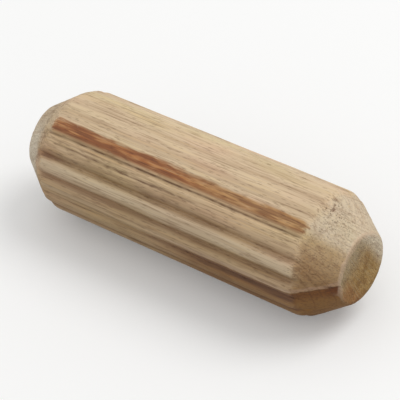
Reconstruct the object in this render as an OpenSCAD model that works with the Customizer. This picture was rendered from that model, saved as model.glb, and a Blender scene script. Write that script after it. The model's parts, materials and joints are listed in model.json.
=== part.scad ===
// Fluted dowel pin: a short round peg of hardwood that is glued into two
// facing holes and joins two boards. It is one piece. The pin lies on its side
// with its axis along X, resting on the flute that faces straight down, and the
// origin is the middle of its axis.

/* [Pin] */
// Diameter over the lands, which is the size of the hole that it fits
pin_d = 10; // [8:0.5:20]
// Length from end face to end face
pin_len = 30; // [20:1:80]

/* [Chamfered ends] */
// Length of each chamfer, measured along the pin
chamfer_len = 3.1; // [0.5:0.1:6]
// Diameter of each flat end face
end_face_d = 5.6; // [3:0.1:7.5]

/* [Flutes] */
// Number of flutes around the pin
flute_count = 18; // [6:2:22]
// Depth of the deepest flutes
flute_depth = 0.4; // [0.2:0.05:0.8]
// Angle between the two straight sides of a flute
flute_angle = 84; // [50:2:90]
// Radius of the half circle at the bottom of a flute
flute_root_r = 0.15; // [0.05:0.01:0.2]

/* [Plain side, where the flutes fade out] */
// Angle from straight up to the middle of the plain side, towards the front
plain_side_lean = 8; // [-90:1:90]
// Angle around the pin that has no flutes
plain_side_angle = 40; // [0:2:120]
// Angle on either side of it over which the flutes grow to their full depth
fade_angle = 40; // [10:2:60]
// Flutes that would be shallower than this leave no mark
least_flute_depth = 0.1; // [0.08:0.01:0.19]

/* [Hidden] */
$fn = 96;

pin_r = pin_d / 2;
end_face_r = end_face_d / 2;
end_x = pin_len / 2;
shank_end_x = end_x - chamfer_len;
flute_half_angle = flute_angle / 2;
flute_pitch = 360 / flute_count;
// How far a cut reaches out past the surface and past the end faces
cut_clear = 1;

// Half of the lengthwise section, for turning: radius first, then place along
// the axis
blank_profile = [
    [0, -end_x],
    [end_face_r, -end_x],
    [pin_r, -shank_end_x],
    [pin_r, shank_end_x],
    [end_face_r, end_x],
    [0, end_x]
];

// Depth of the flute at this angle from straight down. The rod runs through
// the ring of teeth a little off centre, so the flutes are deep on one side and
// fade out on the other: they are level with the surface at the edge of the
// plain side and grow evenly from there to their full depth.
function depth_at(angle) =
    let (
        from_plain_side = acos(cos(angle - 180 - plain_side_lean)),
        share = (from_plain_side - plain_side_angle / 2) / fade_angle
    )
    flute_depth * max(0, min(1, share));

// The round peg before it is fluted: a cylinder with a cone and a flat face at
// either end. Its seam is turned by half a pitch, to run along a land.
module blank() {
    rotate([0, 90, 0])
        rotate(flute_pitch / 2)
            rotate_extrude()
                polygon(blank_profile);
}

// Section of one flute, seen along the pin, with the axis at the origin. It
// opens along -Y: half a circle at the bottom, from which two straight sides
// flare out.
module flute_section(depth) {
    root_y = pin_r - depth + flute_root_r;
    mouth_y = pin_r + cut_clear;
    mouth_x = flute_root_r + (mouth_y - root_y) * tan(flute_half_angle);
    translate([0, -root_y])
        circle(r = flute_root_r);
    polygon([
        [-flute_root_r, -root_y],
        [flute_root_r, -root_y],
        [mouth_x, -mouth_y],
        [-mouth_x, -mouth_y]
    ]);
}

// One straight flute from end to end. At angle 0 it opens straight down, and a
// positive angle turns it from there towards the back, +Y.
module flute(angle, depth) {
    rotate([angle, 0, 0])
        translate([-end_x - cut_clear, 0, 0])
            rotate([90, 0, 90])
                linear_extrude(pin_len + 2 * cut_clear)
                    flute_section(depth);
}

module dowel_pin() {
    color("burlywood")
        difference() {
            blank();
            for (i = [0 : flute_count - 1]) {
                angle = i * flute_pitch;
                depth = depth_at(angle);
                if (depth >= least_flute_depth) flute(angle, depth);
            }
        }
}

dowel_pin();
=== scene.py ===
# %% [markdown]
# # A fluted dowel pin
#
# A dowel pin is a short peg of hardwood that joins two boards. It is glued into two facing holes. Flutes
# along its side let the air and the spare glue out of the holes, and a chamfer at either end helps it in.
#
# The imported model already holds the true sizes, so this script starts by loading it. Everything below is
# laid over that model and takes its sizes from it.

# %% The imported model
import json
from math import cos, radians, sin

import bpy
import numpy as np
from mathutils import Matrix, Vector


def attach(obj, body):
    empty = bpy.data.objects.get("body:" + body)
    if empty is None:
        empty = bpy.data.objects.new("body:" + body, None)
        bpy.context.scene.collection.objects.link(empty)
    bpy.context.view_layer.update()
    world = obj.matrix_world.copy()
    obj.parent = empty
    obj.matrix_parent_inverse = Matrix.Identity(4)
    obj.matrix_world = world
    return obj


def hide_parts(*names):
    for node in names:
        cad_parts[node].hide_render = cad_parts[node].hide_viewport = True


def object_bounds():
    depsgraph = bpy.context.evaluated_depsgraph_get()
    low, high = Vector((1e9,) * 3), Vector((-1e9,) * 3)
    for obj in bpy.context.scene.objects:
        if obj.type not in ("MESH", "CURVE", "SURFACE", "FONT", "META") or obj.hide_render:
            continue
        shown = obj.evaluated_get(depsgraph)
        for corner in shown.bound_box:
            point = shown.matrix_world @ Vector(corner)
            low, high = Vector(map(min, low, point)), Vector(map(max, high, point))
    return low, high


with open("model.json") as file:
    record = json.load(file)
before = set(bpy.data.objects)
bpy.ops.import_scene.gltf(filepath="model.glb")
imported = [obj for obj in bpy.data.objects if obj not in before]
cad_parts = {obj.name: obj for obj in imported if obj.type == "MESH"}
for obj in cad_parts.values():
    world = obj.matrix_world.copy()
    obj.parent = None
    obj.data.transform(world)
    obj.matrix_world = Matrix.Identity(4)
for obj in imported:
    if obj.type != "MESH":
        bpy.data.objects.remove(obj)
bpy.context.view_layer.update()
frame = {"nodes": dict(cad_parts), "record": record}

# %% [markdown]
# ## Sizes
#
# All shapes are worked out in millimetres, with X along the pin, and turned to metres at the end. The
# diameter and the length of the shank come from the record's mounts. The end faces are measured on the
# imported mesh. The flutes repeat the values of the construction, which the record doesn't hold.
#
# The plain side is a strip along the top without flutes. Its middle leans a little towards the front, -Y,
# and beside it the flutes grow to their full depth.

# %% Sizes of the pin
mm = 0.001

mounts = {mount["name"]: mount for mount in frame["record"]["mounts"]}
pin_r = mounts["shank"]["dims"]["r_mm"]
shank_end_x = mounts["shank"]["dims"]["length_mm"] / 2
end_x = mounts["end_face_right"]["pos_m"][0] / mm

cad_mesh = frame["nodes"]["dowel_pin"].data
cad_points = np.zeros(3 * len(cad_mesh.vertices), dtype=np.float32)
cad_mesh.vertices.foreach_get("co", cad_points)
cad_points = cad_points.astype(float).reshape(-1, 3) / mm
# A point this close to the end, in mm, lies on the end face.
end_tolerance = 0.001
on_end_face = cad_points[:, 0] > end_x - end_tolerance
end_face_r = float(np.hypot(*cad_points[on_end_face, 1:].T).max())

flute_count = 18
flute_pitch = radians(360 / flute_count)
flute_depth = 0.4
flute_root_r = 0.15
flute_half_angle = radians(84 / 2)
plain_side_middle = radians(180 + 8)
plain_side_half = radians(40 / 2)
fade_angle = radians(40)

print(f"pin {2 * pin_r:.1f} x {2 * end_x:.1f} mm, end faces {2 * end_face_r:.2f} mm across")

# %% [markdown]
# ## The camera
#
# The camera looks down on the pin from the front right. It stands so close that the near end looks clearly
# larger than the far one, which is what gives a small thing its close-up look. A long lens then brings the
# pin up to fill the frame without changing that view.
#
# A turn about the viewing axis leans the view a little, as a camera held in the hand does.

# %% The camera
camera_azimuth = radians(41.9)
camera_elevation = radians(39)
camera_distance = 169.3 * mm
camera_roll = radians(-6.4)
camera_lens_mm = 76.6
enlargement = 2.6

camera_data = bpy.data.cameras.new("camera")
camera_data.lens = camera_lens_mm * enlargement
camera_data.clip_start = 0.01
camera_data.clip_end = 10
camera = bpy.data.objects.new("camera", camera_data)
bpy.context.scene.collection.objects.link(camera)
bpy.context.scene.camera = camera

towards_camera = Vector((
    cos(camera_elevation) * sin(camera_azimuth),
    -cos(camera_elevation) * cos(camera_azimuth),
    sin(camera_elevation),
))
aim = (-towards_camera).to_track_quat("-Z", "Y").to_matrix()
camera.matrix_world = (
    Matrix.Translation(towards_camera * camera_distance)
    @ (aim @ Matrix.Rotation(camera_roll, 3, "Z")).to_4x4()
)
print("camera at", [round(c, 4) for c in camera.location], "m, lens", round(camera_data.lens), "mm")

# %% [markdown]
# ## Helpers for colours and nodes
#
# Colours are written as sRGB hex values, as a colour picker shows them. Shaders count in linear light, so
# one function converts them. Nodes could be placed by hand in the editor, but a list of steps is easier to
# read and to change. So another function adds a node, sets its values and links its inputs.

# %% Helpers for colours and nodes
def linear(hex_colour):
    """Linear RGBA of an sRGB hex colour: c / 12.92 below 0.04045, else ((c + 0.055) / 1.055) ** 2.4."""
    channels = [int(hex_colour[i:i + 2], 16) / 255 for i in (1, 3, 5)]
    return (*[c / 12.92 if c <= 0.04045 else ((c + 0.055) / 1.055) ** 2.4 for c in channels], 1.0)


def add_node(tree, kind, inputs=None, out=0, **settings):
    """Adds a node, sets its settings, fills each input with a value or links it to a socket, and gives
    back one of its outputs, or the node itself if it has none."""
    node = tree.nodes.new("ShaderNode" + kind)
    for name, value in settings.items():
        setattr(node, name, value)
    for name, value in (inputs or {}).items():
        if isinstance(value, bpy.types.NodeSocket):
            tree.links.new(value, node.inputs[name])
        else:
            node.inputs[name].default_value = value
    return node.outputs[out] if len(node.outputs) else node


def new_material(name):
    """An empty node material, with its output node."""
    material = bpy.data.materials.new(name)
    material.use_nodes = True
    material.node_tree.nodes.clear()
    return material, material.node_tree, material.node_tree.nodes.new("ShaderNodeOutputMaterial")


print("a mid grey of #808080 is", round(linear("#808080")[0], 3), "in linear light")

# %% [markdown]
# ## The round blank
#
# The real pin starts as a planed round rod. It is sawn to length, and a cutter like a pencil sharpener
# takes a cone off either end. A cylinder and two cones could stand for that, but each edge would be as
# sharp as a knife and each face as smooth as glass.
#
# Instead the whole skin is one surface, r = f(x, angle): for each place along the pin and each angle around
# it, a formula gives the radius. Then every stage of the making becomes one more term of the formula. The
# angle is counted from straight down and grows towards the back, +Y.

# %% Formulas for worn edges and uneven wood
# How much is worn off the lands, and over what difference the shoulder is rounded.
edge_wear = 0.015
shoulder_round = 0.3
# How many steps a noise goes before it repeats.
noise_length = 256
# Ripples in the wood: their height, the size of their steps around the pin and along it, all in mm, and the
# seed of their random numbers.
shoulder_wobble = [(0.06, 3.0, 1, 3), (0.015, 0.6, 1, 4)]
cutter_ripples = [(0.010, 0.5, 0.45, 5), (0.010, 2.2, 0.22, 6)]
fibre_ridges = [(0.008, 0.35, 4, 1), (0.004, 0.15, 1.5, 2)]


def soft_min(a, b, blend):
    """The smaller of a and b. Where they differ by less than blend, the corner is rounded: less
    (blend - difference) squared / (4 * blend)."""
    return np.minimum(a, b) - np.maximum(blend - np.abs(a - b), 0) ** 2 / (4 * blend)


def uneven(u, v, seed, around):
    """Smooth noise from -1 to 1: a random number at each whole u and v, eased from one to the next.
    u repeats after `around` steps, so that the noise closes around the pin. A number added to v picks
    another stretch of the noise."""
    table = np.random.default_rng(seed).uniform(-1, 1, (around, noise_length))
    low_u, low_v = np.floor(u).astype(int), np.floor(v).astype(int)
    ease_u, ease_v = [t * t * (3 - 2 * t) for t in (u - low_u, v - low_v)]
    corners = [
        table[(low_u + i) % around, (low_v + j) % noise_length]
        * np.abs(1 - i - ease_u) * np.abs(1 - j - ease_v)
        for i in (0, 1) for j in (0, 1)
    ]
    return sum(corners)


def relief(x, angle, step_around, step_along, seed):
    """Noise on the pin's surface, with steps of about this size in mm around it and along it."""
    count = round(2 * np.pi * pin_r / step_around)
    return uneven(angle / (2 * np.pi) * count, (x + 2 * end_x) / step_along, seed, around=count)


def ripples(x, angle, rows):
    """The sum of some ripples, each of which is relief times its height."""
    return sum(height * relief(x, angle, *steps_and_seed) for height, *steps_and_seed in rows)


def blank_radius(x, angle):
    """Radius before fluting: a cylinder, and past the shoulder a straight cone, rounded where the two meet.
    The shoulder wobbles a little around the pin, the cone is rippled, and fine ridges run along it all."""
    past_shoulder = np.abs(x) - shank_end_x - ripples(0 * x, angle, shoulder_wobble)
    slope = (pin_r - end_face_r) / (end_x - shank_end_x)
    cone = pin_r - slope * past_shoulder
    side = soft_min(pin_r - edge_wear + 0 * x, cone, shoulder_round)
    chatter = np.where(past_shoulder > 0, ripples(x, angle, cutter_ripples), 0)
    return side + chatter + ripples(x, angle, fibre_ridges)


middle_r, rim_r = blank_radius(np.array([0.0, end_x]), np.zeros(2))
print(f"radius of the blank: {middle_r:.3f} mm in the middle, {rim_r:.3f} mm at the rim")

# %% [markdown]
# ## The flutes
#
# The rod is pushed through a ring of hardened teeth, which press the flutes into it. They are dents and not
# cuts, so the wood bends down into them over wide, round lips, and their depth follows the hardness of the
# wood. The rod ran slightly off centre, so on one side the teeth only just touched it.
#
# A flute could be cut with a boolean, but that would leave straight, sharp lips. As a term of the formula
# the flute gets a soft lip, a slightly uneven depth and a slightly wandering line. It runs out into the
# chamfer by itself, where the cone falls below its floor.

# %% Flutes
# The lips are rounded over this many times the depth of the flute.
lip_share = 1.2
faint_flute_depth = 0.035
# How far a flute wanders sideways and over what steps, and by what share its depth varies and over what
# steps.
flute_wander = 0.03
wander_step = 6
depth_unevenness = 0.12
depth_step = 4
# One flute low on the front is pressed less deeply towards the left, where the wood is harder. It starts
# to be shallower at one place along the pin and is shallowest at another.
shallow_flute = 14
shallow_by = 0.4
shallow_from_x = 1
shallowest_x = -5


def nearest_flute(x, angle):
    """The distance in mm from the middle of the nearest flute, and the depth of that flute here. Only a
    faint one is pressed on the plain side, and beside it the depth grows evenly to the full one."""
    number = np.round(angle / flute_pitch)
    wander = flute_wander * uneven(number, x / wander_step + 5, seed=11, around=flute_count)
    sideways = np.abs(pin_r * np.sin(angle - number * flute_pitch) - wander)
    from_plain_side = np.arccos(np.cos(number * flute_pitch - plain_side_middle))
    share = np.clip((from_plain_side - plain_side_half) / fade_angle, 0, 1)
    depth = np.maximum(flute_depth * share, faint_flute_depth)
    to_the_left = np.clip((shallow_from_x - x) / (shallow_from_x - shallowest_x), 0, 1)
    shallower = shallow_by * (number % flute_count == shallow_flute) * to_the_left
    change = depth_unevenness * uneven(number, x / depth_step + 9, seed=12, around=flute_count)
    return sideways, depth * (1 - shallower + change)


def flute_floor(sideways, depth):
    """Radius of a flute's floor: half a circle at the bottom and straight flared sides, which go on past
    the surface. Beyond its lips it is larger than the pin, so it takes nothing away there."""
    in_round = np.minimum(sideways, flute_root_r)
    rise = flute_root_r - np.sqrt(flute_root_r ** 2 - in_round ** 2)
    rise = rise + np.maximum(sideways - flute_root_r, 0) / np.tan(flute_half_angle)
    return pin_r - depth + rise


up_the_back = flute_pitch * np.arange(flute_count // 2 + 1)
print("depths of the flutes in mm, up the back:", nearest_flute(0, up_the_back)[1].round(2).tolist())

# %% [markdown]
# ## Cracks, torn grain and stripes of painted shade and light
#
# The cutter tore the wood where its fibres ran out of the surface, and two fine cracks follow the grain.
# Marks like these could be drawn as bump alone, but then they would have no depth from the side. Here they
# are more terms of the formula, so they are true dents in the mesh.
#
# Each mark is a row of numbers: where it is, how large it is and how deep. Its place around the pin is given
# as a lean from straight up towards the front. Darker and paler stripes along the pin, which are painted
# shade and painted light, have no depth. They are listed in the same way, and the material will use them.

# %% Marks in the surface
# Fine cracks along the grain: lean in degrees, from where to where in mm, and depth in mm.
cracks = [(38.9, -12.3, 12.2, 0.05), (47.4, -11.5, 3.0, 0.045)]
# How wide a crack is, how far it wanders and over what steps, over what steps it comes and goes, and over
# what length it runs out at either end.
crack_width = 0.08
crack_wander = 0.04
crack_wander_step = 3
crack_break_step = 0.45
crack_run_out = 0.5
# Patches of torn grain, in mm but for the lean: x, lean, half the size along and around, size of the pits
# and depth. The first two lie on the upper side of the right chamfer.
torn_patches = [
    (12.5, -5.5, 0.6, 0.8, 0.18, 0.10),
    (13.3, 3, 1.1, 2.1, 0.14, 0.055),
    (13.3, 70.6, 0.4, 0.2, 0.17, 0.12),
    (14.5, 88, 0.5, 0.30, 0.30, 0.16),
    (11.2, 85, 0.6, 0.35, 0.20, 0.07),
    (-13.0, 25, 0.9, 4.0, 0.26, 0.05),
    (-5.5, 47.5, 3.5, 0.5, 0.25, 0.055),
]
# A pit is where the noise stands above the threshold, and the steepness says how soon it is fully deep.
pit_threshold = 0.32
pit_steepness = 1.3
# Darker stripes of painted shade and paler stripes of painted light along the pin: lean in degrees, half
# width in mm, and strength.
shade_stripes = [
    (14.5, 0.35, 0.42),
    (-0.5, 0.45, 0.28),
    (36.5, 0.20, 0.25),
    (51.0, 0.30, 0.20),
    (55.5, 0.28, 0.25),
]
light_stripes = [(69, 0.54, 0.95), (89.5, 0.3, 0.5)]


def lean_of(angle):
    """Angle from straight up towards the front, from -180 to 180 degrees."""
    return np.degrees(np.angle(np.exp(1j * (angle - np.pi))))


def around_mm(angle, lean):
    """Distance around the pin from this lean."""
    return pin_r * np.radians((lean_of(angle) - lean + 180) % 360 - 180)


def crack_depth(x, angle):
    """Depth of the cracks: a narrow bell curve across each, which wanders a little and comes and goes
    along its length, between 0.3 and all of its depth."""
    total = 0 * x
    for number, (lean, x_from, x_to, depth) in enumerate(cracks):
        wander = crack_wander * uneven(0 * x, x / crack_wander_step + 9, seed=30 + number, around=1)
        sideways = around_mm(angle, lean) - wander
        inside = np.clip(np.minimum(x - x_from, x_to - x) / crack_run_out, 0, 1)
        broken = 0.65 + 0.35 * uneven(0 * x, x / crack_break_step + 40, seed=32 + number, around=1)
        total = total + depth * inside * broken * np.exp(-(sideways / crack_width) ** 2)
    return total


def in_patch(x, angle, x_mm, lean, along, around):
    """A bell-shaped patch, 1 in its middle: e to the power of -(distance / half the size) squared."""
    return np.exp(-((x - x_mm) / along) ** 2 - (around_mm(angle, lean) / around) ** 2)


def torn_depth(x, angle):
    """Depth of the torn grain: bell-shaped patches, each full of small pits. The pits are what stands
    above a threshold in a fine noise, and a coarser noise puts more of them here and fewer there."""
    total = 0 * x
    for number, (x_mm, lean, along, around, pit_size, depth) in enumerate(torn_patches):
        pits = ripples(x, angle, [(1.5, pit_size, pit_size, 58 + number), (0.5, 0.6, 0.5, 64)])
        here = in_patch(x, angle, x_mm, lean, along, around)
        total = total + depth * here * np.clip(pit_steepness * (pits - pit_threshold), 0, 1)
    return total


print(f"{len(cracks)} cracks and {len(torn_patches)} patches of pit and crack tone with painted shade")

# %% [markdown]
# ## A splinter
#
# A splinter came off the front of the right chamfer. It could be cut out by hand, but wood doesn't break
# just anywhere: the break follows a border between two years' growth, which is an arc around the middle of
# the tree. So the formula for the splinter measures from there, and the colour of the wood will use the
# same arc. The middle of the tree lies outside the pin, above it and in front.

# %% The splinter
pith_distance = 15.46
pith_lean = radians(29.1)
border = 13.9
# The splinter's depth, how far past the border it is that deep, how far it reaches and over what length it
# runs out. Along the pin, how far past the shoulder it starts and over what length it gets its depth.
splinter_depth = 0.11
splinter_edge = 0.15
splinter_reach = 2.5
splinter_run_out = 1.5
splinter_start = 0.3
splinter_rise = 0.5


def splinter(x, angle, radius):
    """Depth of the splinter: it grows to the full depth over splinter_edge past the border, and runs out
    again before splinter_reach. Along the pin it starts just past the shoulder, and it is only on the
    side that leans further to the front than the middle of the tree."""
    lean = np.radians(lean_of(angle)) - pith_lean
    past = np.hypot(radius * np.sin(lean), pith_distance - radius * np.cos(lean)) - border
    on_chamfer = np.clip((x - shank_end_x - splinter_start) / splinter_rise, 0, 1)
    below = np.clip(past / splinter_edge, 0, 1) * np.clip((splinter_reach - past) / splinter_run_out, 0, 1)
    return splinter_depth * on_chamfer * below * (lean > 0)


def side_radius(x, angle):
    """Radius of the finished side: the smaller of the blank and the nearest flute's floor, with round lips,
    less the cracks, the torn grain and the splinter."""
    sideways, depth = nearest_flute(x, angle)
    side = soft_min(blank_radius(x, angle), flute_floor(sideways, depth), lip_share * depth)
    return side - crack_depth(x, angle) - torn_depth(x, angle) - splinter(x, angle, side)


print(f"the splinter is {splinter_depth} mm deep, {border} mm from the middle of the tree")

# %% [markdown]
# ## From formula to mesh
#
# A remesher could turn a shape like this into faces, but it would need far more of them to keep the edges
# crisp. A grid can put its points where the shape needs them.
#
# It has one row for each place along the profile, from the middle of the left end face over the side to the
# middle of the right end face. Rows lie close together over the shoulders and the chamfers and far apart
# along the shank, where the flutes run straight. Around the pin the points crowd into the flutes in the
# same way. Each end closes in one point.

# %% The pin's mesh
# Points around one flute, and how strongly they crowd towards its middle.
points_per_pitch = 32
crowding = 0.2
# Rows on an end face, how far its rim drops away, and how much was worn off the face.
face_rows = 14
rim_drop = 0.09
face_wear = 0.015
saw_mark_depth = 0.012
saw_mark_length = 0.9
saw_mark_spacing = 0.22

turn = np.arange(flute_count * points_per_pitch) / points_per_pitch
angles = flute_pitch * (turn - crowding / (2 * np.pi) * np.sin(2 * np.pi * turn))

# Rows of one half: the shank, the shoulder and the chamfer.
half_rows_x = np.concatenate([
    np.linspace(0, shank_end_x - 0.4, 27)[1:],
    np.linspace(shank_end_x - 0.3, shank_end_x + 0.8, 12),
    np.linspace(shank_end_x + 0.87, end_x - rim_drop, 27),
])
rows_x = np.concatenate([-half_rows_x[::-1], [0], half_rows_x])
x, angle = np.meshgrid(rows_x, angles, indexing="ij")
side_r = side_radius(x, angle)


def end_face(side, rim_r):
    """Rows of one end face from its rim inwards: the rim's radius times a falling share, on a flat face
    that drops away close to the rim, by rim_drop times the 30th power of the share, and has saw marks.
    They are a noise, longer than it is wide, that leans a little and stops short of the rim."""
    share = (1 - np.arange(1, face_rows + 1) / (face_rows + 1)) ** 0.8
    share = share[:, None] * np.ones_like(rim_r)
    face_r = share * rim_r
    y, z = face_r * np.sin(angles), -face_r * np.cos(angles)
    across = (z + 10 + 0.3 * y) / saw_mark_spacing
    saw_marks = saw_mark_depth * uneven((y + 10) / saw_mark_length, across, seed=21 + side, around=64)
    face_x = end_x - rim_drop * share ** 30 - face_wear - np.where(share < 0.95, saw_marks, 0)
    return side * face_x, y, z


left_x, left_y, left_z = end_face(-1, side_r[0])
right_x, right_y, right_z = end_face(1, side_r[-1])
grid = np.stack([
    np.concatenate([left_x[::-1], x, right_x]),
    np.concatenate([left_y[::-1], side_r * np.sin(angle), right_y]),
    np.concatenate([left_z[::-1], -side_r * np.cos(angle), right_z]),
], axis=-1)
rows, columns = grid.shape[:2]
poles = [(-(end_x - face_wear), 0, 0), (end_x - face_wear, 0, 0)]
points = np.concatenate([grid.reshape(-1, 3), poles]) * mm

row, column = np.meshgrid(np.arange(rows - 1), np.arange(columns), indexing="ij")
ahead = (column + 1) % columns
quads = np.stack([
    row * columns + column,
    row * columns + ahead,
    (row + 1) * columns + ahead,
    (row + 1) * columns + column,
], axis=-1).reshape(-1, 4)
ring = np.arange(columns)
next_in_ring = (ring + 1) % columns
last_row = (rows - 1) * columns
left_pole = np.full(columns, rows * columns)
right_pole = left_pole + 1
left_fan = np.stack([left_pole, next_in_ring, ring], axis=-1)
right_fan = np.stack([right_pole, last_row + ring, last_row + next_in_ring], axis=-1)

pin_mesh = bpy.data.meshes.new("dowel_pin_wood")
pin_mesh.from_pydata(points.tolist(), [], quads.tolist() + left_fan.tolist() + right_fan.tolist())
pin_mesh.shade_smooth()
pin = bpy.data.objects.new("dowel_pin_wood", pin_mesh)
bpy.context.scene.collection.objects.link(pin)
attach(pin, "root")
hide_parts("dowel_pin")

triangles = 2 * len(quads) + len(left_fan) + len(right_fan)
print(f"pin: {rows} x {columns} points, {triangles} triangles")
middle_row = len(rows_x) // 2
print(f"largest radius {side_r.max():.3f} mm, deepest flute {pin_r - side_r[middle_row].min():.3f} mm")

# %% [markdown]
# ## What the surface remembers
#
# The finish depends on how the surface was made. Pressed wood in a flute is denser and a little darker, wood
# that is cut across its fibres is rougher, and torn grain is darker too. Some of these masks also carry
# painted light: painted shade in the flutes, along darker stripes and in torn pits and cracks, painted light
# along paler stripes, and a painted highlight on the upper rims. A material can't work that out from a
# position. A mask could be painted by hand, but the formulas already know it to a hair, so the mesh stores
# each of these as an attribute from 0 to 1.

# %% Attributes
# How far from a flute's middle the wood is pressed and tinted darker, partly with painted shade, how far
# past the shoulder that goes on, and how wide the painted highlight on the rim is.
flute_tint_half_width = 0.4
flute_run_out = 0.5
lit_rim_width = 0.16
# Depths in mm at which a pit and a crack are fully darkened, partly with painted shade.
full_pit = 0.10
full_crack = 0.05

from_middle = np.abs(grid[..., 0])
whole_angle = np.broadcast_to(angles, (rows, columns))
on_face = np.zeros((rows, columns))
on_face[:face_rows] = 1
on_face[-face_rows:] = 1
on_chamfer = np.clip((from_middle - shank_end_x) / shoulder_round, 0, 1) * (1 - on_face)

sideways, depth = nearest_flute(grid[..., 0], whole_angle)
flute_end = np.clip((shank_end_x + flute_run_out - from_middle) / flute_run_out, 0, 1)
# The darkening in a flute is partly the pressed wood's own tone and partly painted shade. A shallow flute is
# hardly darker, because the colour follows the third power of the depth.
pressed_and_shaded = np.exp(-(sideways / flute_tint_half_width) ** 2) * (0.1 + 0.9 * (depth / flute_depth) ** 3)


def stripes(rows):
    """The sum of some stripes along the pin: a bell curve across each, times its strength."""
    return sum(
        strength * np.exp(-(around_mm(whole_angle, lean) / half_width) ** 2)
        for lean, half_width, strength in rows
    )


# A patch of torn grain is ragged between its pits too. Only the first two are large enough to show it.
torn_pits = torn_depth(grid[..., 0], whole_angle) / full_pit
# This mask darkens the wood partly as painted shade in the pits and cracks.
torn_and_shaded = torn_pits + crack_depth(grid[..., 0], whole_angle) / full_crack
ragged = sum(in_patch(grid[..., 0], whole_angle, *patch[:4]) for patch in torn_patches[:2])
# The rim mask is a painted highlight where the rounded rim catches the light.
rim = np.exp(-((end_x - from_middle) / lit_rim_width) ** 2) * (1 - on_face)
# On an end face the painted highlight of the rim fades inwards.
rim[:face_rows] += np.linspace(0, 1, face_rows)[:, None] ** 6
rim[-face_rows:] += np.linspace(1, 0, face_rows)[:, None] ** 6

# Some masks carry painted light: the flute mask and the darker stripes are partly painted shade, the paler
# stripes are painted light, the torn mask is partly painted shade, and the rim mask is a painted highlight.
surface = {
    "pressed_and_shaded": (pressed_and_shaded + stripes(shade_stripes)) * flute_end,
    "lit_lands": stripes(light_stripes) * flute_end,
    "chamfer": on_chamfer,
    "sawn_end": on_face,
    "torn_and_shaded": torn_and_shaded * (1 - on_face),
    "ragged": ragged * (1 - on_face),
    "lit_rim": rim,
}
for name, values in surface.items():
    at_pole = 1.0 if name == "sawn_end" else 0.0
    whole = np.append(np.clip(values, 0, 1).ravel(), [at_pole] * 2).astype(np.float32)
    pin_mesh.attributes.new(name, "FLOAT", "POINT").data.foreach_set("value", whole)
    print(f"{name}: mean {values.mean():.3f}")

# %% [markdown]
# ## The wood
#
# Beech is pale and dense, with fine pores and short brown flecks. A picture wrapped around the pin would
# show a seam and would not carry on over the ends. Real figure comes from cutting through a block, so the
# block itself is described: a solid texture gives each point in space its colour, and the surface shows
# whatever it cuts. Then a ring that runs along the side as a stripe meets its own arc on the end face.
#
# First the block is turned so that its growth rings lie around the middle of the tree, which is outside the
# pin, above and in front of it. Distances are in millimetres, with X along the fibres.

# %% Where a point lies in the tree
per_mm = 1 / mm

wood, tree, output = new_material("beech_planed_and_pressed")
point = add_node(tree, "TexCoord", out="Object")
in_tree = add_node(tree, "Mapping", {
    "Vector": point,
    "Rotation": (-pith_lean, 0, 0),
    "Scale": (per_mm, per_mm, per_mm),
    "Location": (0, 0, -pith_distance),
})
split = add_node(tree, "SeparateXYZ", {"Vector": in_tree}).node.outputs
flat_place = add_node(tree, "VectorMath", {0: in_tree, 1: (0, 1, 1)}, operation="MULTIPLY")
from_pith = add_node(tree, "VectorMath", {0: flat_place}, operation="LENGTH", out="Value")
around_pith = add_node(tree, "Math", {0: split["Y"], 1: split["Z"]}, operation="ARCTAN2")
around_pith = add_node(tree, "Math", {0: around_pith, 1: pith_distance}, operation="MULTIPLY")
in_rings = add_node(tree, "CombineXYZ", {"X": split["X"], "Y": around_pith, "Z": from_pith})
print(f"the middle of the tree is {pith_distance} mm from the middle of the pin")

# %% [markdown]
# Fibres are long and thin, so each pattern has a size along the fibres, around the tree and outwards, in
# millimetres. Dividing the place by them turns it into steps of the pattern. Rays are thin ribbons that run
# outwards from the middle: they show as lines on the end faces and as short flecks on the side. Real fibres
# and pores are a tenth as wide as these, which are as coarse as they need to be to show.

# %% Patterns that follow the fibres
# Each noise: the place that it follows, its size in mm along, around and outwards, and its finer levels.
noises = {
    "fibres": (in_tree, (5, 0.13, 0.13), 3.0),
    "bundles": (in_tree, (13, 0.5, 0.5), 2.0),
    "mottling": (in_tree, (2.2, 0.28, 0.28), 2.0),
    "patches": (in_tree, (9, 2.4, 2.4), 1.0),
    "waver": (in_tree, (14, 3.5, 3.5), 0.0),
    "torn_ends": (in_tree, (0.22, 0.14, 0.14), 3.0),
    "wear": (in_tree, (0.8, 0.8, 0.8), 2.0),
    "rays": (in_rings, (2.4, 0.13, 3.5), 0.0),
    "dust": (in_tree, (2, 0.7, 0.7), 1.0),
}
pore_size = (1.1, 0.12, 0.12)
# How far from its middle, in steps of the pattern, a pore starts and where it is full.
pore_edge = 0.30
pore_core = 0.12

pattern = {"along": split["X"], "sideways": split["Y"], "from_pith": from_pith}
for name, (place, size, detail) in noises.items():
    steps = add_node(tree, "VectorMath", {0: place, 1: size}, operation="DIVIDE")
    pattern[name] = add_node(tree, "TexNoise", {"Vector": steps, "Scale": 1.0, "Detail": detail}, out="Fac")
steps = add_node(tree, "VectorMath", {0: in_tree, 1: pore_size}, operation="DIVIDE")
pattern["pores"] = add_node(tree, "TexVoronoi", {"Vector": steps, "Scale": 1.0}, out="Distance")
for name in surface:
    pattern[name] = add_node(tree, "Attribute", attribute_name=name, out="Fac")
print("patterns:", ", ".join(pattern))

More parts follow.
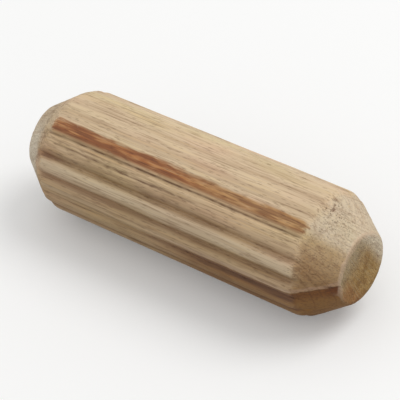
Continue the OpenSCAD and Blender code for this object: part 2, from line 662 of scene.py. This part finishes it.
# %% [markdown]
# ## Rings, a brown vein and the darker outer wood
#
# Each year's growth starts pale and ends in a thin darker line. Towards the front the wood turns tan. Past a
# dark line it turns brown, but only at the right end; that line is partly a dark border in the wood and
# partly painted shadow of a split along it. A flat vein of brown wood lies just under the surface along the
# front of the top, so it shows there as a streak that ends where the chamfers cut beneath it. Below it the
# wood is tan, and it is reddish over a short way at the left end.
#
# A mask painted by hand would fit only one surface. Three small tables place each of these in the block
# itself. A sum adds two patterns, the first one scaled, which lets a border waver with the fibres. A ramp
# rises from 0 to 1 between two values of a pattern, and a product is where two patterns overlap.

# %% Where each kind of wood is
ring_width = 2.1
# The vein: half its width, how softly its sides end, where its middle lies sideways, how far from the middle
# of the tree its floor lies, how softly that ends, and how wide the stain beside it is.
vein_half_width = 0.48
vein_soft = 0.17
vein_sideways = -0.08
vein_floor = 10.6
floor_soft = 0.105
stain_width = 0.65
# How far the noise moves each border.
vein_waver = 0.5
floor_waver = 0.45
border_waver = 0.3

# Each sum: a pattern, its scale, and the pattern that it is added to.
sums = {
    "ring_place": ("waver", 0.5, "from_pith"),
    "vein_place": ("mottling", vein_waver, "sideways"),
    "border_place": ("bundles", border_waver, "from_pith"),
    "floor_place": ("mottling", floor_waver, "from_pith"),
    "cut_place": ("wear", 1.2, "along"),
    "rim_place": ("wear", 1.6, "lit_rim"),
    "golden_place": ("wear", 1.4, "from_pith"),
    "cut_across": ("chamfer", 0.6, "sawn_end"),
}
# Noise has a mean of 0.5, so a place in the wood is found in its sum half of the scale further on.
vein_middle = vein_sideways + vein_waver / 2
vein_top = vein_middle + vein_half_width
vein_bottom = vein_middle - vein_half_width
floor_middle = vein_floor + floor_waver / 2
border_middle = border + border_waver / 2
# Each ramp: its pattern, where it is 0, and where it is 1.
ramps = {
    "below_top": ("vein_place", vein_top + vein_soft, vein_top - vein_soft),
    "above_bottom": ("vein_place", vein_bottom - vein_soft, vein_bottom + vein_soft),
    "near_vein": ("vein_place", vein_bottom - stain_width, vein_bottom),
    "above_floor": ("floor_place", floor_middle + floor_soft, floor_middle - floor_soft),
    "lower_half": ("vein_place", vein_middle + 0.1, vein_middle - 0.35),
    "dark_blotches": ("mottling", 0.56, 0.40),
    "pale_blotches": ("mottling", 0.52, 0.64),
    "left_part": ("along", 6.5, -1),
    "right_part": ("along", -3, 5),
    "left_end": ("cut_place", -11.9, -13.3),
    "right_end": ("cut_place", 12.3, 13.3),
    "right_tip": ("along", 13.7, 14.7),
    "tan_start": ("sideways", 0.0, -0.9),
    "tan_end": ("sideways", -3.1, -2.4),
    "smudge_start": ("sideways", -1.9, -2.4),
    "left_tip": ("cut_place", -9.0, -11.0),
    "off_the_end": ("sawn_end", 1, 0),
    "front_part": ("sideways", 1, -1.4),
    "front_edge": ("sideways", 0.3, -0.7),
    "front_low": ("sideways", -0.7, -2.9),
    "back": ("sideways", -0.7, 0.3),
    "above_border": ("border_place", border_middle + 0.02, border_middle - 0.08),
    "lip_start": ("border_place", border_middle - 0.40, border_middle - 0.22),
    "past_border": ("border_place", border_middle - 0.05, border_middle + 0.10),
    "line_end": ("border_place", border_middle + 1.5, border_middle + 0.4),
    "golden_side": ("golden_place", 14.3, 16.4),
    "red_side": ("sideways", -0.9, -1.7),
    "pale_side": ("sideways", 1.0, 2.3),
    "dusty": ("dust", 0.56, 0.30),
    "open_pores": ("pores", 0.36, 0.20),
    "upper_side": ("from_pith", 16.5, 14),
    "rim_band": ("rim_place", 1.05, 1.55),
}
# Each product: the two patterns that overlap.
products = {
    "vein_strip": ("below_top", "above_bottom"),
    "vein": ("vein_strip", "above_floor"),
    "left_vein": ("vein", "left_part"),
    "lower_vein": ("vein", "lower_half"),
    "dark_in_vein": ("vein", "dark_blotches"),
    "pale_in_vein": ("vein", "pale_blotches"),
    "stain": ("near_vein", "below_top"),
    "vein_stain": ("stain", "above_floor"),
    "tan_band": ("tan_start", "tan_end"),
    "figured": ("tan_band", "dark_blotches"),
    "left_figured": ("figured", "left_part"),
    "smudge_band": ("smudge_start", "tan_end"),
    "smudge": ("smudge_band", "left_tip"),
    "front_side": ("front_part", "off_the_end"),
    "right_front": ("right_part", "front_side"),
    "brown": ("past_border", "right_front"),
    # The dark line is partly painted shadow of a split along the border.
    "dark_line_and_shadow": ("brown", "line_end"),
    # The lip carries a painted highlight.
    "lip_strip": ("above_border", "lip_start"),
    "lip": ("lip_strip", "right_front"),
    "right_cut": ("chamfer", "right_end"),
    # On the right cut: painted highlight at the back and painted shade towards the low front.
    "lit_right_cut_back": ("right_cut", "back"),
    # On the left cut: painted shade over its lit top and painted light on its front.
    "shaded_left_cut": ("chamfer", "left_end"),
    "lit_left_cut_front": ("shaded_left_cut", "front_part"),
    "planed_and_shaded_cut": ("right_cut", "front_edge"),
    "shaded_low_cut": ("right_cut", "front_low"),
    "golden_end": ("sawn_end", "golden_side"),
    "red_end": ("golden_end", "red_side"),
    # Painted highlight on the back of the sawn end.
    "lit_back_of_end": ("sawn_end", "pale_side"),
    "sawn_rings": ("sawn_end", "ring"),
    "sawn_rays": ("sawn_end", "rays"),
    "sawn_patches": ("golden_end", "dusty"),
    "sawn_pores": ("sawn_end", "open_pores"),
    "ragged_pores": ("ragged", "open_pores"),
    # Painted shadow in the notch at the rim.
    "notch_shadow": ("dark_line_and_shadow", "right_tip"),
    # Painted highlight on the upper rims.
    "rim_highlight": ("rim_band", "upper_side"),
}
for name, (first, scale, second) in sums.items():
    pattern[name] = add_node(tree, "Math", {0: pattern[first], 1: scale, 2: pattern[second]},
                             operation="MULTIPLY_ADD", label=name)
ring_count = add_node(tree, "Math", {0: pattern["ring_place"], 1: 1 / ring_width}, operation="MULTIPLY")
pattern["ring"] = add_node(tree, "Math", {0: ring_count}, operation="FRACT")
for name, (source, start, full) in ramps.items():
    pattern[name] = add_node(tree, "MapRange", {
        "Value": pattern[source], "From Min": start, "From Max": full,
    }, label=name)
for name, (first, second) in products.items():
    pattern[name] = add_node(tree, "Math", {0: pattern[first], 1: pattern[second]},
                             operation="MULTIPLY", label=name)
print(f"{len(sums)} sums, {len(ramps)} ramps and {len(products)} products")

# %% [markdown]
# ## Colour
#
# One colour ramp could give the wood its tones, but each part of this pin has its own reason for its colour.
# So the colours are laid over one another: pale wood with its rings and the tan front, the cut ends, the
# brown border and the vein, fibres and pores, and last the pressed flutes, the torn grain and the rim.
# Several layers are painted light: painted highlights on the back of the right cut, the back of the sawn
# end, the lip above the border and the upper rims, painted light on the front of the left cut and along
# paler stripes, and painted shade on the left cut's top, the low front of the right cut, along the border
# and in its notch, in the flutes and in torn pits and cracks. Each layer follows one pattern. It starts to
# show at one value of it and is full at another.

# %% Colour
pale_wood = "#d5bd9b"
# What is laid on, its pattern, where it starts and is full, how much it covers then, its colour, and how.
layers = [
    ("yellower wood", "patches", 0.50, 0.32, 0.6, "#cfbb90", "MIX"),
    ("rosier wood", "patches", 0.50, 0.68, 0.6, "#d9b899", "MIX"),
    ("late wood", "ring", 0.55, 0.98, 0.25, "#b8966a", "MIX"),
    ("tan wood", "sideways", -2.7, -4.4, 0.55, "#bb9669", "MIX"),
    ("tan band beside the vein", "tan_band", 0.0, 1.0, 0.27, "#bb9360", "MIX"),
    ("wavy figure", "left_figured", 0.0, 1.0, 0.30, "#8f7247", "MIX"),
    ("smudge at the left end", "smudge", 0.0, 1.0, 0.42, "#96552f", "MIX"),
    # Partly the paler fuzz of cut fibres, partly a painted highlight where the top of the cut catches the
    # light.
    ("pale fuzz with painted highlight on the right cut", "lit_right_cut_back", 0.0, 1.0, 0.55, "#d0c2ab", "MIX"),
    # A greyer cut end, darker as painted shade over the top that the lamp lights.
    ("greyer cut with painted shade on the left", "shaded_left_cut", 0.0, 1.0, 0.75, "#bcaa8f", "MIX"),
    # Painted light on the front of the left cut, as if lit from the left.
    ("painted light on the front of the left cut", "lit_left_cut_front", 0.0, 1.0, 0.78, "#ede1cb", "MIX"),
    # The cleaner cut at the front, darkened partly as painted shade.
    ("planed cut with painted shade", "planed_and_shaded_cut", 0.0, 1.0, 0.65, "#ab8e66", "MIX"),
    # Painted shade on the low front of the right cut.
    ("painted shade on the low part of the cut", "shaded_low_cut", 0.0, 1.0, 0.70, "#9a744a", "MIX"),
    ("brown outer wood", "brown", 0.0, 1.0, 0.75, "#8f6430", "MIX"),
    ("sawn end", "sawn_end", 0.0, 1.0, 0.75, "#a59271", "MIX"),
    ("golden part of the sawn end", "golden_end", 0.0, 1.0, 0.75, "#b08843", "MIX"),
    ("reddish corner of the sawn end", "red_end", 0.0, 1.0, 0.50, "#95562f", "MIX"),
    ("rings on the sawn end", "sawn_rings", 0.50, 0.95, 0.25, "#7d653c", "MIX"),
    ("rays on the sawn end", "sawn_rays", 0.54, 0.66, 0.50, "#cdb280", "MIX"),
    ("dusty patches on the sawn end", "sawn_patches", 0.0, 1.0, 0.50, "#7a4f1e", "MIX"),
    # Painted highlight where the back of the end face catches the light.
    ("painted highlight on the back of the sawn end", "lit_back_of_end", 0.0, 1.0, 0.85, "#efe2c9", "MIX"),
    ("open pores on the sawn end", "sawn_pores", 0.0, 1.0, 0.45, "#6b4a26", "MIX"),
    ("open pores in the pit and crack tone with painted shade", "ragged_pores", 0.0, 1.0, 0.50, "#5e4226", "MIX"),
    # Partly a dark border in the wood, partly painted shadow in the split along it.
    ("dark border and painted shadow of the split", "dark_line_and_shadow", 0.0, 1.0, 0.65, "#713f12", "MIX"),
    # Painted shadow of the step in the notch at the rim.
    ("painted shadow of the notch at the rim", "notch_shadow", 0.0, 1.0, 0.60, "#64300f", "MIX"),
    # Painted highlight on the rounded lip above the split.
    ("painted highlight on the lip edge", "lip", 0.0, 1.0, 0.50, "#c4a189", "MIX"),
    ("stain beside the vein", "vein_stain", 0.0, 1.0, 0.38, "#a87a48", "MIX"),
    ("golden vein", "vein", 0.0, 1.0, 0.80, "#ae8049", "MIX"),
    ("red part of the vein", "left_vein", 0.0, 1.0, 0.75, "#9c592a", "MIX"),
    ("lower edge of the vein", "lower_vein", 0.0, 1.0, 0.40, "#804d28", "MIX"),
    ("pale blotches in the vein", "pale_in_vein", 0.0, 1.0, 0.38, "#d09e68", "MIX"),
    ("dark blotches in the vein", "dark_in_vein", 0.0, 1.0, 0.48, "#6b3517", "MIX"),
    # Painted light: paler stripes where the lamp leaves the lands and a flute too dark.
    ("painted light in paler stripes", "lit_lands", 0.0, 1.0, 0.75, "#e0cbab", "MIX"),
    ("pale fibres", "fibres", 0.48, 0.72, 0.45, "#e6d4b8", "SOFT_LIGHT"),
    ("dark fibres", "fibres", 0.50, 0.28, 0.40, "#a07c58", "MULTIPLY"),
    ("dark bundles", "bundles", 0.50, 0.30, 0.25, "#a8845c", "MULTIPLY"),
    ("ray flecks", "rays", 0.60, 0.72, 0.25, "#a07a54", "MULTIPLY"),
    ("pores", "pores", pore_edge, pore_core, 0.35, "#8a6444", "MULTIPLY"),
    # Partly the pressed wood's own tone, partly painted shade in the flutes and along the darker stripes.
    ("flute tint with painted shade", "pressed_and_shaded", 0.0, 1.0, 0.75, "#b39a80", "MULTIPLY"),
    # Partly the darker tone of torn fibres, partly painted shade in the pits and cracks, deeper ones darker.
    ("pit and crack tone with painted shade", "torn_and_shaded", 0.0, 1.0, 0.80, "#7a5128", "MULTIPLY"),
    # Painted highlight on the upper rims, where the rounded edge catches the light.
    ("painted highlight on the upper rims", "rim_highlight", 0.0, 1.0, 0.50, "#dcbda0", "MIX"),
]

colour = linear(pale_wood)
for label, name, start, full, cover, hex_colour, blend in layers:
    share = add_node(tree, "MapRange", {
        "Value": pattern[name], "From Min": start, "From Max": full, "To Max": cover,
    }, interpolation_type="SMOOTHSTEP", label=label)
    colour = add_node(tree, "MixRGB", {"Fac": share, "Color1": colour, "Color2": linear(hex_colour)},
                      blend_type=blend, label=label)
print(f"{len(layers)} layers of colour over {pale_wood}")

# %% [markdown]
# ## Gloss and fine relief
#
# Bare planed wood is matt, because its cut fibres scatter the light. Pressing closes them, so the flutes
# are a little smoother, and sawn end grain is the roughest. Fine relief could be real displacement, but
# that would take millions of faces. The bump holds only what is finer than the mesh: fibres and pores of
# about 0.02 mm, and the torn fibre ends on the cut faces. The front of the right chamfer was cut more
# cleanly, so it has less of them.

# %% Gloss, relief and shader
fibre_mm = 0.018
pore_mm = 0.02
torn_end_mm = 0.10
# How much less of the torn ends the planed part of the cut has.
cleaner_by = 0.4
planed_roughness = 0.62
pressed_roughness = 0.52
cut_roughness = 0.85
wood_ior = 1.5

fibre_height = add_node(tree, "Math", {0: pattern["fibres"], 1: fibre_mm * mm}, operation="MULTIPLY")
pore_height = add_node(tree, "MapRange", {
    "Value": pattern["pores"], "From Min": pore_edge, "From Max": pore_core, "To Max": -pore_mm * mm,
})
torn_height = add_node(tree, "Math", {0: pattern["torn_ends"], 1: torn_end_mm * mm}, operation="MULTIPLY")
rough_cut = add_node(tree, "Math", {0: pattern["planed_and_shaded_cut"], 1: -cleaner_by, 2: pattern["cut_across"]},
                     operation="MULTIPLY_ADD")
torn_here = add_node(tree, "Math", {0: torn_height, 1: rough_cut}, operation="MULTIPLY")
height = add_node(tree, "Math", {0: fibre_height, 1: pore_height}, operation="ADD")
height = add_node(tree, "Math", {0: height, 1: torn_here}, operation="ADD")
bump = add_node(tree, "Bump", {"Height": height, "Distance": 1.0, "Strength": 1.0})

side_roughness = add_node(tree, "MapRange", {
    "Value": pattern["pressed_and_shaded"], "To Min": planed_roughness, "To Max": pressed_roughness,
})
roughness = add_node(tree, "Mix", {
    "Factor": pattern["cut_across"], "A": side_roughness, "B": cut_roughness,
}, data_type="FLOAT")
shader = add_node(tree, "BsdfPrincipled", {
    "Base Color": colour, "Roughness": roughness, "Normal": bump, "IOR": wood_ior,
})
tree.links.new(shader, output.inputs["Surface"])
pin_mesh.materials.append(wood)
print(f"wood material: {len(tree.nodes)} nodes")

# %% [markdown]
# ## Floor and light
#
# The pin lies on a sheet of white paper, which is matt and has no shine, under a soft, even sky with one
# large lamp above and behind it. The paper could be made white with more light, but that would wash out the
# wood. Light Path makes it white for the camera and for reflections and duller for the bounced light, so
# the underside stays as dark as it should. Away from the pin the paper fades to plain white for the camera,
# so that it meets the sky without a line.

# %% Floor and light
# Sizes and places are in metres here, as Blender takes them.
floor_size = 1.2
floor_seen = linear("#fbfbfa")
floor_bounced = linear("#8c8a86")
sky_strength = 0.72
lamp_power = 1.1
lamp_size = 0.35
lamp_place = Vector((0.22, 0.24, 0.45))
fade_from = 0.04
fade_to = 0.25
least_fade = 0.15

floor_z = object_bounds()[0].z
half = floor_size / 2
floor_mesh = bpy.data.meshes.new("floor")
floor_mesh.from_pydata(
    [(-half, -half, floor_z), (half, -half, floor_z), (half, half, floor_z), (-half, half, floor_z)],
    [],
    [(0, 1, 2, 3)],
)
floor = bpy.data.objects.new("floor", floor_mesh)
bpy.context.scene.collection.objects.link(floor)

floor_material, floor_tree, output = new_material("white_paper_sweep")
world = bpy.data.worlds.new("soft_sky")
bpy.context.scene.world = world
world.use_nodes = True
world.node_tree.nodes.clear()

sky_tree = world.node_tree
seen = {}
for stage_tree in (floor_tree, sky_tree):
    ray = stage_tree.nodes.new("ShaderNodeLightPath").outputs
    direct = add_node(stage_tree, "Math", {0: ray["Is Camera Ray"], 1: ray["Is Glossy Ray"]},
                      operation="ADD", use_clamp=True)
    seen[stage_tree] = add_node(stage_tree, "Math", {0: direct, 1: ray["Is Transmission Ray"]},
                                operation="ADD", use_clamp=True)

paper_colour = add_node(floor_tree, "MixRGB", {
    "Fac": seen[floor_tree], "Color1": floor_bounced, "Color2": floor_seen,
})
paper = add_node(floor_tree, "BsdfDiffuse", {"Color": paper_colour})
floor_point = add_node(floor_tree, "TexCoord", out="Object")
distance = add_node(floor_tree, "VectorMath", {0: floor_point}, operation="LENGTH", out="Value")
fade = add_node(floor_tree, "MapRange", {
    "Value": distance, "From Min": fade_from, "From Max": fade_to, "To Min": least_fade,
})
fade = add_node(floor_tree, "Math", {0: fade, 1: seen[floor_tree]}, operation="MULTIPLY")
white = add_node(floor_tree, "Emission", {"Color": (1, 1, 1, 1), "Strength": 1.0})
sweep = add_node(floor_tree, "MixShader", {0: fade, 1: paper, 2: white})
floor_tree.links.new(sweep, output.inputs["Surface"])
floor_mesh.materials.append(floor_material)

strength = add_node(sky_tree, "Mix", {
    "Factor": seen[sky_tree], "A": sky_strength, "B": 1.0,
}, data_type="FLOAT")
sky = add_node(sky_tree, "Background", {"Color": (1, 1, 1, 1), "Strength": strength})
sky_tree.links.new(sky, sky_tree.nodes.new("ShaderNodeOutputWorld").inputs["Surface"])

lamp_data = bpy.data.lights.new("large_softbox", "AREA")
lamp_data.shape = "DISK"
lamp_data.size = lamp_size
lamp_data.energy = lamp_power
lamp = bpy.data.objects.new("large_softbox", lamp_data)
lamp.location = lamp_place
lamp.rotation_mode = "QUATERNION"
lamp.rotation_quaternion = (-lamp_place).to_track_quat("-Z", "Y")
bpy.context.scene.collection.objects.link(lamp)

bpy.context.scene.view_settings.view_transform = "Standard"
print(f"floor {-floor_z / mm:.3f} mm below the middle of the pin, lamp of {lamp_power} W")
